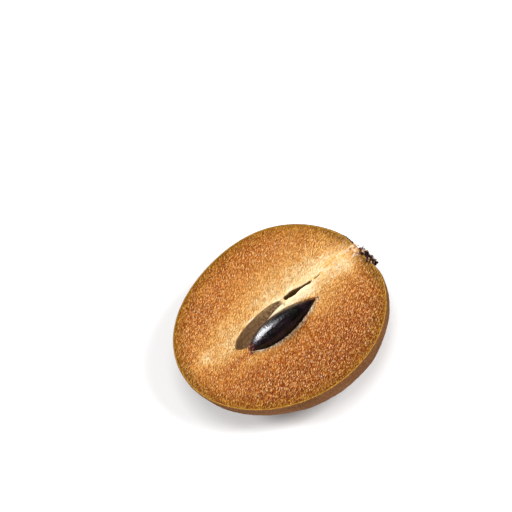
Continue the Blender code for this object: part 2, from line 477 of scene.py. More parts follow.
def slit_room(x, y):
    """Room to the edge of the slit, a band of uneven width, or of the broken crack that runs on."""
    place = point_field(x, 0 * x)
    y = y + 0.16 * smooth_noise(place, 1.6, 13)
    along, across = local(x, y, SLIT_ANGLE, SLIT_START)
    uneven = 1 + 0.20 * smooth_noise(place, 1.1, 15)
    ends = np.clip(along / 0.5, 0, 1) ** 0.5 * smooth_step(SLIT_LENGTH, SLIT_LENGTH - 0.8, along)
    width = SLIT_THIN_WIDTH + (SLIT_WIDTH - SLIT_THIN_WIDTH) * smooth_step(6.6, 3.2, along)
    half_width = 0.5 * width * uneven * ends - 0.1 * (ends <= 0)
    broken = smooth_step(-0.2, 0.2, smooth_noise(place, 0.8, 14))
    crack = 0.55 * band(x, y, *CRACK) * broken
    return np.maximum(half_width - np.abs(across), crack - 0.27)


# The pale core: its line, half its width, how pale it is and how far it fades to each side.
CORE_Y = 3.33
CORE_SLOPE = 0.059
CORE_HALF_WIDTH = 0.8
CORE_PALENESS = 0.81
CORE_GAIN = 0.21
FAR_FADE = 16.4
FAR_FADE_GAIN = 3.4
NEAR_FADE = 12.0
NEAR_FADE_GAIN = 2.0

# Paler and darker patches of the flesh: place, reach each way and how much paler.
PATCHES = (
    (-14, 21, 4, 2.5, 0.18),
    (23, 15, 4, 3, -0.15),
    (-19, -3.4, 6.5, 1.2, -0.20),
    (-9, -6.5, 5, 2, 0.18),
    (4.5, -7, 4, 2.5, -0.16),
    (-15.5, -6.2, 4.5, 1.6, 0.20),
    (-15, 8, 5, 3, 0.14),
    (-20, 13, 6, 2.5, -0.10),
    (29, 1, 2, 5.5, -0.32),
    (26, 0.3, 3, 2, 0.14),
    (28.5, -4, 3, 4, -0.15),
    (27, 9, 4, 3, -0.12),
    (17, 9.5, 6, 3.5, 0.04),
    (13, -4.8, 5, 2.2, 0.14),
    (15, 3.5, 10, 2.5, -0.08),
    (21, 8.5, 4.5, 3.5, -0.17),
    (22, 3, 4, 1.8, -0.12),
    (28.5, 8.5, 2.5, 3, -0.20),
    (1.5, 13, 5, 3, 0.08),
    (-8, 6, 5, 2.5, -0.10),
    (-26.5, 3.2, 4, 1.8, 0.20),
)


def core_fade(x, y):
    """How pale the flesh is: most along the core, falling away like a bell to both sides."""
    core_y = CORE_Y + CORE_SLOPE * x
    peak = CORE_PALENESS + CORE_GAIN * smooth_step(-30.0, 1.6, x)
    far_fade = FAR_FADE + FAR_FADE_GAIN * smooth_step(-16.0, 2.0, x)
    near_fade = NEAR_FADE + NEAR_FADE_GAIN * smooth_step(-16.0, 4.0, x)
    away_far = np.clip(y - core_y - CORE_HALF_WIDTH, 0, None) / far_fade
    away_near = np.clip(core_y - y - CORE_HALF_WIDTH, 0, None) / near_fade
    side = np.where(y > core_y, np.exp(-(away_far**1.36)), np.exp(-(away_near**1.47)))
    core = peak * side * (1 - smooth_step(-23.0, -37.0, x))
    patches = 0.0
    for patch_x, patch_y, reach_x, reach_y, amount in PATCHES:
        away = ((x - patch_x) / reach_x) ** 2 + ((y - patch_y) / reach_y) ** 2
        patches = patches + amount * np.exp(-away)
    return 1.11 * core - 0.11 + patches


# Bands of tissue on the face, and one of painted shade: start, end, and half the width at each.
CORE_LOW = ((6.0, 2.6), (21.0, 4.4), 2.0, 3.4)
CORE_HIGH = ((18.0, 4.0), (28.0, 3.4), 3.4, 3.2)
SEPTUM = ((-0.5, 1.9), (11.0, 2.1), 0.3, 1.5)
SEPTUM_FIBRES = ((0.5, 2.6), (12.0, 2.4), 0.9, 2.4)
FAR_FIBRES = ((-10.0, 4.6), (14.0, 5.0), 0.6, 1.3)
ORANGE_FOLD = ((-12.3, -3.1), (-21.5, -3.7), 0.65, 1.3)
RIDGE = ((-4.6, 1.85), (2.5, 2.2), 0.16, 0.75)
# Painted shade along the face's rim at the stem end, beside the calyx.
STEM_SHADE_BAND = ((30.2, -9.0), (30.2, 1.0), 2.2, 1.9)
STEM_SHOULDER = ((24.6, 18.0), (30.0, 6.0), 1.4, 1.8)
BLOSSOM_RIM = ((-31.3, 8.0), (-31.3, -8.0), 1.8, 1.8)


def face_masks(x, y, lip_distance, turn):
    """How pale the flesh is and where each other tissue shows, all from 0 to 1."""
    place = point_field(x, y)
    wander = layered_noise(place, 5.0, 11)
    fine = layered_noise(place, 0.8, 12)
    pale = core_fade(x + 0.8 * wander, y + 0.6 * wander)
    core = np.maximum(band(x, y, *CORE_LOW), band(x, y, *CORE_HIGH))
    fibres = np.maximum(0.8 * core, band(x, y, *SEPTUM_FIBRES))
    near_side = smooth_step(0.15, -0.1, np.sin(turn)) * smooth_step(-0.995, -0.93, np.cos(turn))
    far_side = smooth_step(-0.1, 0.15, np.sin(turn))
    gap_end = smooth_step(-12.6, -11.6, x) * (1 - smooth_step(-6.0, 2.0, x))
    locule, locule_along, locule_across = locule_room(x, y)
    deep_end = 1 - smooth_step(-0.75, 0.75, locule_along)
    slit = slit_room(x, y)
    masks = {
        "pale": pale + 0.06 * fine,
        "fibres": np.maximum(fibres, 0.8 * band(x, y, *FAR_FIBRES)),
        "septum": 1.3 * band(x, y, *SEPTUM),
        "orange": band(x, y, *ORANGE_FOLD),
        "film": np.exp(-((lip_distance / (0.85 + 0.30 * fine)) ** 4)) * near_side,
        # A drab tint on the rims, with painted shade beside the calyx.
        "drab_and_stem_shade": band(x, y, *STEM_SHADE_BAND) + band(x, y, *STEM_SHOULDER) + 0.6 * band(x, y, *BLOSSOM_RIM),
        "ridge": band(x, y, *RIDGE),
        # Painted shadow in the gap on the far side of the seed, near its base.
        "gap_shadow": np.exp(-((lip_distance / 0.42) ** 4)) * far_side * gap_end,
        "locule": 0.5 + 0.5 * locule,
        "locule_along": 0.5 + 0.5 * locule_along,
        # The locule's low side, which gets painted shade.
        "locule_shaded_side": smooth_step(2.5, 1.0, locule_across),
        "locule_depth": smooth_step(0.0, 2.3, locule) ** 0.5 * deep_end,
        "slit": 0.5 + slit,
        "slit_depth": smooth_step(0.0, 0.35, slit),
    }
    return {key: np.clip(values, 0, 1) for key, values in masks.items()}


# How far each relief of the cut face stands out or in, in mm.
WAVE_HEIGHT = 0.10
GRAIN_SIZE = 0.68
GRAIN_HEIGHT = 0.13
FINE_HEIGHT = 0.05
FILM_HEIGHT = 0.20
STRAND_HEIGHT = 0.12
EDGE_DROP = 0.10


def face_relief(x, y, masks, edge_distance):
    """The height of the cut surface over its plane: waves, grains, film, strands and the hollows."""
    place = point_field(x, y)
    hollows = smooth_step(0.45, 0.6, np.maximum(masks["locule"], masks["slit"]))
    flesh = (1 - 0.7 * masks["fibres"]) * (1 - hollows)
    grain = GRAIN_HEIGHT * (grains(place, GRAIN_SIZE, 31) - 0.5)
    relief = WAVE_HEIGHT * layered_noise(place, 9.0, 21, 2)
    relief += flesh * (grain + FINE_HEIGHT * smooth_noise(place, 0.5, 41))
    relief += FILM_HEIGHT * masks["film"] * (1 + 0.9 * smooth_noise(place, 0.6, 51))
    strands = smooth_noise(point_field(x * 0.25, y * 2.2), 0.8, 61)
    relief += STRAND_HEIGHT * masks["fibres"] * (1 - hollows) * strands
    relief -= EDGE_DROP * np.exp(-edge_distance / 0.4)
    return relief - LOCULE_DEPTH * masks["locule_depth"] - SLIT_DEPTH * masks["slit_depth"]


def make_flesh():
    """The flesh: a bowl for the seed, rings from its lip to the skin, and a plain bowl under them."""
    turn = all_round(FACE_COLUMNS)
    lip_x, lip_y = pocket_outline(turn)
    radius = face_radius(turn) - SKIN_THICKNESS + 0.1
    edge = point_field(radius * np.cos(turn), radius * np.sin(turn))
    edge = press_stem_end(edge, SKIN_THICKNESS * 0.4)
    share = np.linspace(0.0, 1.0, FACE_ROWS)[:, None] ** 1.3
    x = lip_x * (1 - share) + edge[:, 0] * share
    y = lip_y * (1 - share) + edge[:, 1] * share
    lip_distance = np.hypot(x - lip_x, y - lip_y)
    edge_distance = np.hypot(x - edge[:, 0], y - edge[:, 1])
    around = np.broadcast_to(turn, x.shape)
    values = face_masks(x, y, lip_distance, around)
    face = point_field(x, y, FACE_HEIGHT + face_relief(x, y, values, edge_distance))
    values["edge"] = edge_distance
    values["flow"] = point_field(np.cos(around), np.sin(around), share)

    middle_x, middle_y = turned(0.0, 0.0, SEED_ANGLE, SEED_MIDDLE)
    reach = np.sin(0.5 * math.pi * (np.arange(POCKET_ROWS)[:, None] + 0.4) / POCKET_ROWS)
    depth = SEED_SINK + (SEED_BREADTH / 2 + POCKET_ROOM) * np.sqrt(1 - reach**2)
    pocket_z = np.minimum(face[0, :, UP] - 0.2, FACE_HEIGHT - depth)
    pocket_x = middle_x + (lip_x - middle_x) * reach
    pocket_y = middle_y + (lip_y - middle_y) * reach
    pocket = point_field(pocket_x, pocket_y, pocket_z)

    latitude = 0.5 * math.pi * (np.arange(UNDER_ROWS)[:, None] + 0.15) / UNDER_ROWS
    under = edge * np.cos(latitude)[..., None]
    under[..., UP] = FACE_HEIGHT - UNDER_DEPTH * np.sin(latitude)

    attributes = {}
    for key, value in values.items():
        in_pocket = 10.0 if key == "edge" else float("locule" in key)
        before = np.full((POCKET_ROWS, *value.shape[1:]), in_pocket)
        behind = np.zeros((UNDER_ROWS, *value.shape[1:]))
        attributes[key] = [np.concatenate([before, value, behind])]
    return closed_rings("flesh", [np.concatenate([pocket, face, under])], attributes)


# The skin: a shell from the bottom outside, up over the cut edge and down inside.
SKIN_COLUMNS = 640
SKIN_ROWS = 118
SKIN_EDGE_ROWS = 4
SKIN_INNER_ROWS = 6
SCAR_TURN = math.radians(183.0)
SCAR_LATITUDE = 0.10
SCAR_REACH = 1.5
LUMP_HEIGHT = 0.16
SCURF_HEIGHT = 0.035
CROWN_HEIGHT = 0.07
FLAT_SPOT_SOFTNESS = 0.08


def dome(latitude, turn, thickness):
    """The half's rounded outside, or a copy this much further in; latitude is 0 at the cut edge."""
    radius = face_radius(turn) - thickness
    deep = DEPTH - thickness
    x = radius * np.cos(latitude) * np.cos(turn)
    y = radius * np.cos(latitude) * np.sin(turn)
    return press_stem_end(point_field(x, y, FACE_HEIGHT - deep * np.sin(latitude)), thickness)


def dome_outward(points):
    """The direction out of the half's rounded side."""
    flat = np.array([1 / FACE_RADIUS**2, 1 / FACE_RADIUS**2, 1 / DEPTH**2])
    return unit((points - np.array([0, 0, FACE_HEIGHT])) * flat)


def make_skin():
    """The skin: scurfy outside, a crisp cut edge a little above the flesh, and a plain inside."""
    turn = all_round(SKIN_COLUMNS)
    latitude = (0.5 * math.pi * (1 - (np.arange(SKIN_ROWS) + 0.3) / (SKIN_ROWS - 0.7)))[:, None]
    outer = dome(latitude, turn, 0.0)
    lumps = LUMP_HEIGHT * layered_noise(outer, 7.0, 71, 2)
    scurf = SCURF_HEIGHT * (smooth_noise(outer, 0.9, 72) + 0.7 * smooth_noise(outer, 0.5, 73))
    stand = smooth_step(0.0, 2.0, FACE_HEIGHT - outer[..., UP])
    relief = lumps * stand + scurf * (0.3 + 0.7 * stand)
    outer = outer + relief[..., None] * dome_outward(outer)
    outer[..., UP] = FLAT_SPOT_SOFTNESS * np.logaddexp(0.0, outer[..., UP] / FLAT_SPOT_SOFTNESS)
    share = np.linspace(0.0, 1.0, SKIN_EDGE_ROWS)[:, None]
    edge = dome(0.0, turn, 0.03 + SKIN_THICKNESS * share)
    crown = CROWN_HEIGHT * np.sin(math.pi * (0.15 + 0.7 * share))
    edge[..., UP] += crown + 0.03 * smooth_noise(edge, 0.8, 74)
    inner_latitude = 0.5 * math.pi * (np.arange(SKIN_INNER_ROWS)[:, None] + 0.25) / SKIN_INNER_ROWS
    inner = dome(inner_latitude, turn, SKIN_THICKNESS + 0.05)
    rows = np.concatenate([outer, edge, inner])
    cut = np.ones(rows.shape[:2])
    cut[:SKIN_ROWS] = 0.0
    cut[SKIN_ROWS : SKIN_ROWS + SKIN_EDGE_ROWS] = 0.35 + 0.65 * share
    away = np.linalg.norm(rows - dome(SCAR_LATITUDE, np.array([SCAR_TURN]), 0.0)[0], axis=-1)
    scar = np.where(cut < 0.5, np.exp(-((away / SCAR_REACH) ** 2)), 0.0)
    return closed_rings("skin", [rows], {"cut": [cut], "scar": [scar]})


# Points along the seed and round it.
SEED_ROWS = 190
SEED_COLUMNS = 150


def make_seed():
    """The seed: an ellipse at each station, as large as the profile there, with faint long ridges."""
    turn = all_round(SEED_COLUMNS)
    station = (np.arange(SEED_ROWS) + 0.5) / SEED_ROWS
    s = -np.cos(math.pi * station)[:, None]
    size = spindle(s, SEED_BASE_POWER, SEED_TIP_POWER)
    ridge = 1 + 0.006 * np.sin(9 * turn + 2.0 * s) * size
    x = s * SEED_LENGTH / 2 + 0 * turn
    y = SEED_THICKNESS / 2 * size * np.cos(turn) * ridge
    z = SEED_BREADTH / 2 * size * np.sin(turn) * ridge
    x, y = turned(x, y, SEED_ANGLE, SEED_MIDDLE)
    rows = point_field(x, y, FACE_HEIGHT - SEED_SINK + z)
    centre = point_field(x.mean(axis=1), y.mean(axis=1), FACE_HEIGHT - SEED_SINK)
    dents = 0.03 * layered_noise(rows, 3.5, 81, 2)
    rows = rows + dents[..., None] * unit(rows - centre[:, None, :])
    far_side = smooth_step(0.62, 0.95, np.cos(turn)) * smooth_step(0.3, -0.3, s)
    base = np.maximum(smooth_step(-0.80, -1.0, s), 0.7 * far_side)
    return closed_rings("seed_glossy", [rows], {"base": [base]})


def blob(middle, long_axis, sizes, roughness, noise_seed, rings=22, sides=26):
    """A closed lump: an ellipsoid about its long axis whose radius is varied by noise."""
    around = all_round(sides)
    polar = (math.pi * (np.arange(rings) + 0.5) / rings)[:, None]
    first = unit(np.array(long_axis))
    second = unit(np.cross([0.0, 0.0, 1.0], first))
    third = np.cross(first, second)
    length = -np.cos(polar) + 0 * around
    ball = point_field(length, np.sin(polar) * np.cos(around), np.sin(polar) * np.sin(around))
    swell = 1 + roughness * layered_noise(ball + noise_seed, 0.8, noise_seed)
    ball = ball * swell[..., None] * np.array(sizes)
    return middle + ball[..., :1] * first + ball[..., 1:2] * second + ball[..., 2:] * third


def make_lumps(name, lumps, roughness, noise_seed):
    """Rough lumps on the cut face, joined in one piece."""
    rows = []
    for number, ((x, y, z), axis, sizes) in enumerate(lumps):
        middle = np.array([x, y, FACE_HEIGHT + z])
        rows.append(blob(middle, axis, sizes, roughness, noise_seed + number))
    return closed_rings(name, rows)


# The beak, lumps of seed stalk at the near side of the seed's base: place, long axis and sizes.
BEAK_LUMPS = (
    ((-11.9, -2.1, 0.1), (-0.5, -0.9, 0.1), (1.15, 0.62, 0.72)),
    ((-11.3, -3.2, 0.2), (-0.7, -0.5, 0.0), (0.85, 0.50, 0.55)),
    ((-12.4, -3.5, -0.2), (-0.5, -0.9, 0.1), (0.75, 0.45, 0.45)),
    ((-10.9, -2.3, 0.7), (0.9, 0.3, 0.1), (0.55, 0.28, 0.25)),
)


# The calyx: half of a lobed disc, rough all over.
CALYX_ROWS = 46
CALYX_STEPS = 150
CALYX_SINK = 0.3
CALYX_BASE = 0.25
DOWN = np.array([0.0, 0.0, -1.0])


def calyx_frame():
    """The direction out of the calyx, the one across it on the cut face, and its middle on the seat."""
    outward = np.array([math.cos(STEM_ANGLE), math.sin(STEM_ANGLE), 0.0])
    across = np.array([math.sin(STEM_ANGLE), -math.cos(STEM_ANGLE), 0.0])
    off_axis = (STEM_SEAT * math.sin(STEM_ANGLE) - CALYX_MIDDLE_Y) / math.cos(STEM_ANGLE)
    middle = outward * (STEM_SEAT - CALYX_SINK) + across * off_axis + np.array([0, 0, FACE_HEIGHT])
    return outward, across, middle


def calyx_standing(y):
    """How far the calyx stands out as a share: worn low on the far side, and low at its near end."""
    return 0.12 + 0.88 * smooth_step(3.4, 1.2, y) * (1 - 0.6 * smooth_step(-2.6, -5.2, y))


def calyx_lobes(turn):
    """1 at the middle of each lobe and 0 between two."""
    return np.abs(np.cos(CALYX_LOBES / 2 * turn)) ** 0.7


def make_calyx():
    """The dried calyx: half a lobed disc, its front a low rough plate with a rim and a round scar."""
    turn = np.linspace(0.0, math.pi, CALYX_STEPS)
    out = np.linspace(0.0, 1.0, CALYX_ROWS)[:, None]
    ragged = layered_noise(point_field(3 * np.cos(turn), 3 * np.sin(turn)), 1.2, 91)
    edge = CALYX_RADIUS - CALYX_NOTCH * (1 - calyx_lobes(turn)) + 0.5 * ragged
    outward, across, middle = calyx_frame()
    flat_across = out * edge * np.cos(turn)
    flat_down = out * edge * np.sin(turn)
    base = middle + flat_across[..., None] * across + flat_down[..., None] * DOWN
    rough = layered_noise(point_field(flat_across, flat_down), 1.3, 95, 4)
    rim = np.exp(-(((out - 0.74) / 0.17) ** 2)) * (0.35 + 0.65 * calyx_lobes(turn))
    scar = np.exp(-((out / 0.24) ** 2))
    height = 0.55 + 0.75 * rim + 0.55 * scar - 0.45 * out**6 + 0.42 * rough * smooth_step(0.0, 0.3, out)
    standing = CALYX_BASE + np.clip(height, 0.0, None) * calyx_standing(base[..., 1])
    front = base + standing[..., None] * outward
    points = np.concatenate([base.reshape(-1, 3), front.reshape(-1, 3)])
    number = np.arange(CALYX_ROWS * CALYX_STEPS).reshape(CALYX_ROWS, CALYX_STEPS)
    top = number + number.size
    corners = (
        (top[:-1, :-1], top[1:, :-1], top[1:, 1:], top[:-1, 1:]),
        (number[:-1, 1:], number[1:, 1:], number[1:, :-1], number[:-1, :-1]),
        (top[-1, :-1], number[-1, :-1], number[-1, 1:], top[-1, 1:]),
        (number[:-1, 0], number[1:, 0], top[1:, 0], top[:-1, 0]),
        (top[:-1, -1], top[1:, -1], number[1:, -1], number[:-1, -1]),
    )
    faces = np.concatenate([np.stack(quad, axis=-1).reshape(-1, 4) for quad in corners])
    return make_mesh("calyx_dry", points, faces.tolist())


# Crumbs on the calyx and on the face's edge beside it.
CALYX_CHIPS = 150
EDGE_CRUMBS = 22
CUT_EDGE_SHARE = 0.55
CHIP_RINGS = 8
CHIP_SIDES = 10
CHIP_ROUGHNESS = 0.3
CHIP_REACH_SQUARED = 27.5


def make_calyx_chips():
    """Loose crumbs of dry tissue on the calyx, thickest along its cut edge: flattened rough lumps."""
    draw = np.random.default_rng(5)
    outward, across, middle = calyx_frame()
    groups = []
    tints = []

    def add_chip(place, axis, length, breadth, height, noise_seed):
        """A crumb; its breadth and height are shares of its length."""
        sizes = (length, length * breadth, length * height)
        groups.append(blob(place, axis, sizes, CHIP_ROUGHNESS, noise_seed, CHIP_RINGS, CHIP_SIDES))

    for number in range(CALYX_CHIPS):
        on_edge = number < CUT_EDGE_SHARE * CALYX_CHIPS
        sideways = draw.uniform(-5.0, 5.2)
        if on_edge:
            below = draw.normal(0.1, 0.32)
        else:
            below = draw.uniform(0.6, math.sqrt(CHIP_REACH_SQUARED - sideways**2))
        if on_edge and sideways < -1.2 and draw.uniform() < 0.35:
            sideways = draw.uniform(-0.8, 4.8)
        place = middle + across * sideways + DOWN * below
        standing = calyx_standing(place[1])
        rise = CALYX_BASE + standing * draw.uniform(-0.9 if on_edge else 0.2, 1.4)
        axis = across * draw.normal() + DOWN * draw.normal() * 0.8 + outward * draw.normal() * 0.7
        length = draw.uniform(0.30, 0.80) * (0.35 + 0.65 * standing)
        breadth = draw.uniform(0.35, 0.7)
        add_chip(place + outward * rise, axis, length, breadth, draw.uniform(0.25, 0.5), 200 + number)
        tints.append(draw.uniform())
    for number in range(EDGE_CRUMBS):
        turn = draw.uniform(0.10, 0.30)
        place = dome(abs(draw.normal(0.0, 0.02)), turn, -0.05)
        length = draw.uniform(0.12, 0.40)
        axis = across + outward * draw.normal(0.0, 0.4) + DOWN * draw.normal(0.0, 0.3)
        add_chip(place, axis, length, 0.6, 0.5, 400 + number)
        tints.append(0.9 * draw.uniform())
    values = [np.full((CHIP_RINGS, CHIP_SIDES), tint) for tint in tints]
    return closed_rings("calyx_chips", groups, {"tint": values})


# Fibres of the calyx: start and end on its cut edge, sideways and out, and how far each bows up, in mm.
CALYX_FIBRES = (
    ((-0.6, 0.5), (1.4, 1.9), 0.9),
    ((2.2, 1.5), (5.4, 1.5), 0.5),
    ((3.4, 0.7), (4.9, 2.0), 0.4),
    ((-3.4, 0.4), (-2.0, 1.1), 0.4),
)
FIBRE_RADIUS = 0.14
FIBRE_RINGS = 24
FIBRE_SIDES = 10


def make_calyx_fibres():
    """Bowed fibres on the calyx: round tubes along parabolas, thinnest at their ends."""
    outward, across, middle = calyx_frame()
    share = (np.arange(FIBRE_RINGS) + 0.5) / FIBRE_RINGS
    around = all_round(FIBRE_SIDES)[None, :, None]
    radius = FIBRE_RADIUS * (np.sin(math.pi * share) ** 0.5 + 0.15)
    groups = []
    for start, end, bow in CALYX_FIBRES:
        run = np.array(start) * (1 - share[:, None]) + np.array(end) * share[:, None]
        path = middle + run[:, :1] * across + run[:, 1:] * outward
        path[:, UP] += 4 * bow * share * (1 - share) - 0.1
        ahead = unit(np.gradient(path, axis=0))
        first = unit(np.cross(ahead, [0.0, 0.0, 1.0]))
        second = np.cross(ahead, first)
        ring = first[:, None] * np.cos(around) + second[:, None] * np.sin(around)
        groups.append(path[:, None] + radius[:, None, None] * ring)
    return closed_rings("calyx_fibres", groups)


# Tissue left where the stem was attached, at the face's edge: place, long axis and sizes.
STEM_LUMPS = (
    ((29.2, 3.5, 0.05), (0.5, 0.8, 0.1), (1.15, 0.80, 0.50)),
    ((29.4, 2.2, 0.10), (0.2, -0.9, 0.1), (1.05, 0.75, 0.55)),
    ((28.5, 4.1, 0.05), (0.9, 0.2, 0.0), (0.70, 0.35, 0.30)),
)


def stem_tissue_material():
    """Moist peach tissue with orange hollows."""
    f = Finish("stem_tissue_peach")
    rough = f.noise(1100.0, 3.0, 0.6)
    f.base = f.mix(rough.spread(0.38, 0.62), (0.42, 0.18, 0.055), (0.74, 0.46, 0.25))
    return f.surface(0.4, 0.3, Normal=f.bump(rough, 0.0005))


def flesh_material():
    """Moist grainy flesh: orange brown, gold near the skin, cream at the core, brown in the hollows."""
    f = Finish("flesh_moist")
    pale = f.value("pale")
    slow = f.noise(190.0, 3.0, 0.6)
    streaks = f.noise(1.0, 3.0, 0.6, f.stretched((30.0, 30.0, 5.0), f.value("flow", "Vector")))
    fine = f.noise(2100.0, 2.0, 0.6)
    bumps = f.noise(1350.0, 2.0, 0.6)
    tone = (pale + (slow - 0.5) * 0.15 + (streaks - 0.5) * 0.16).clamp()
    f.base = f.ramp(
        tone,
        (0.0, (0.330, 0.074, 0.003)),
        (0.3, (0.440, 0.124, 0.011)),
        (0.6, (0.570, 0.222, 0.040)),
        (0.8, (0.690, 0.345, 0.090)),
        (1.0, (0.800, 0.560, 0.270)),
    )
    # Slow changes of hue, gold towards the skin, drab rims with painted shade beside the calyx, the
    # orange fold and the core's fibres.
    hue = f.noise(330.0, 3.0, 0.65)
    f.paint(hue.spread(0.52, 0.68) * (1.0 - pale) * 0.35, (0.46, 0.115, 0.030))
    f.paint(hue.spread(0.46, 0.32) * (1.0 - pale) * 0.3, (0.44, 0.19, 0.025))
    edge = f.value("edge")
    gold = (1.0 - edge * 0.17).clamp() ** 1.5
    f.paint(gold * 0.8, f.mix(pale, (0.280, 0.106, 0.003), (0.430, 0.205, 0.020)))
    # Drab rims, with painted shade beside the calyx.
    f.paint(f.value("drab_and_stem_shade") * 0.8, (0.19, 0.080, 0.008))
    f.paint(f.value("orange") * 0.8, (0.47, 0.150, 0.022))
    fibres = f.value("fibres")
    strand = f.noise(1.0, 3.0, 0.7, f.stretched((260.0, 1500.0, 260.0), f.turned(-4.0)), 0.8)
    f.paint(fibres * strand.spread(0.50, 0.60) * 0.85, (0.83, 0.78, 0.64))
    f.paint(fibres * strand.spread(0.50, 0.38) * 0.65, (0.56, 0.35, 0.10))
    f.paint(f.value("septum") * (0.45 + strand * 0.5), (0.80, 0.67, 0.44))
    # The grain: short slanting strokes, with painted shade between them, painted highlights on their
    # crests, spots and painted glints.
    loose = (1.0 - fibres * 0.75) * (1.0 - pale * 0.30)
    lying = f.turned(-38.0)
    strokes = f.noise(1.0, 1.5, 0.6, f.stretched((1350.0, 4300.0, 1350.0), lying))
    _, bright, warm = f.cells(1.0, f.stretched((1500.0, 4400.0, 1500.0), lying))
    crest = (strokes - 0.5) * 2.8 + (bright - 0.5) * 0.9
    # Painted shade between the grains.
    painted_shade = f.mix(pale, (0.60, 0.42, 0.20), (0.56, 0.41, 0.23))
    f.paint(loose * crest.spread(0.05, -0.30), f.mix(1.0, f.base, painted_shade, "MULTIPLY"))
    # Painted highlights on the grains' crests: warm, gold near the skin and cream at the core.
    light = f.mix(warm, (1.0, 0.40, 0.08), (1.0, 0.64, 0.25))
    light = f.mix(gold * 0.8, light, (0.80, 0.43, 0.02))
    light = f.mix(pale.spread(0.75, 1.0), light, (1.0, 0.78, 0.46))
    f.paint(loose * crest.spread(0.05, 0.50) * (0.60 - gold * 0.25), light)
    # Painted highlights on the tops of the strokes.
    f.paint(loose * strokes.spread(0.61, 0.70) * (0.85 - gold * 0.7), (1.0, 0.78, 0.47))
    spot, chosen, sort = f.cells(520.0)
    spot = spot.spread(0.38, 0.16) * chosen.spread(0.80, 0.84)
    spot_tint = f.mix(sort, (0.56, 0.09, 0.025), (0.62, 0.20, 0.008))
    f.paint(spot * (1.0 - pale) * 0.35, spot_tint)
    # Painted glints: small pale dots scattered over the grain.
    away, chosen, _ = f.cells(1.0, f.stretched((560.0, 900.0, 560.0), lying))
    painted_glint = away.spread(0.30, 0.08) * chosen.spread(0.88, 0.96)
    f.paint(painted_glint * loose * 0.45, (1.0, 0.80, 0.56))
    f.paint(edge.spread(0.40, 0.12) * 0.45, (0.42, 0.23, 0.02))
    # The locule's lining, paler near the seed's base, with painted shade on its low side and in its
    # depths, then its ridge, the slit with painted shade, the painted shadow in the gap, and the film.
    ragged = (bumps - 0.5) * 0.3
    locule = (f.value("locule") + ragged * 0.3).spread(0.46, 0.54)
    along = f.value("locule_along")
    near_base = f.mix(slow.spread(0.42, 0.60), (0.210, 0.108, 0.045), (0.320, 0.170, 0.076))
    low = f.value("locule_shaded_side")
    # The far end's lining, with painted shade on its low side.
    far_end = f.mix(low, (0.210, 0.120, 0.044), (0.068, 0.031, 0.010))
    # Painted shade on the low side near the seed's base.
    near_base = f.mix(low * 0.35, near_base, (0.095, 0.052, 0.022))
    lining = f.mix(along.spread(0.36, 0.66), near_base, far_end)
    # Painted shade, darker where the locule is deeper.
    lining = f.mix(f.value("locule_depth").spread(0.0, 1.1) * 0.5, lining, (0.16, 0.085, 0.035))
    lining = f.mix(bumps.spread(0.40, 0.65) * 0.22, lining, (0.55, 0.38, 0.22))
    f.paint(locule * along.spread(0.99, 0.88), lining)
    f.paint(f.value("ridge").spread(0.25, 0.6) * 0.85, (0.80, 0.64, 0.40))
    slit = (f.value("slit") + ragged * 0.4).spread(0.45, 0.53)
    # The slit's lining colour, darkened as painted shade where the slit is deeper.
    f.paint(slit, f.mix(f.value("slit_depth"), (0.16, 0.085, 0.022), (0.060, 0.031, 0.007)))
    # Painted shadow in the gap between the seed and the flesh.
    f.paint(f.value("gap_shadow") * 0.9, (0.045, 0.016, 0.010))
    grit = f.mix(fine.spread(0.40, 0.56), (0.16, 0.095, 0.045), (0.68, 0.53, 0.36))
    grit = f.mix(strokes.spread(0.60, 0.70) * 0.8, grit, (0.95, 0.88, 0.76))
    f.paint(f.value("film") * bumps.spread(0.28, 0.48) * 0.9, grit)
    # Relief and gloss.
    ridges = f.noise(1.0, 1.0, 0.55, f.stretched((1350.0, 4100.0, 1350.0), lying))
    smoothness = locule * 0.9 + fibres * 0.55
    normal = f.bump(ridges * (1.0 - smoothness - pale * 0.35).clamp(), 0.0016)
    wet = f.noise(900.0, 2.0).spread(0.35, 0.65, 0.30, 0.55)
    return f.surface(
        wet,
        0.12,
        Normal=normal,
        Subsurface_Weight=0.10,
        Subsurface_Radius=(0.0014, 0.0006, 0.0002),
        Subsurface_Scale=1.0,
    )


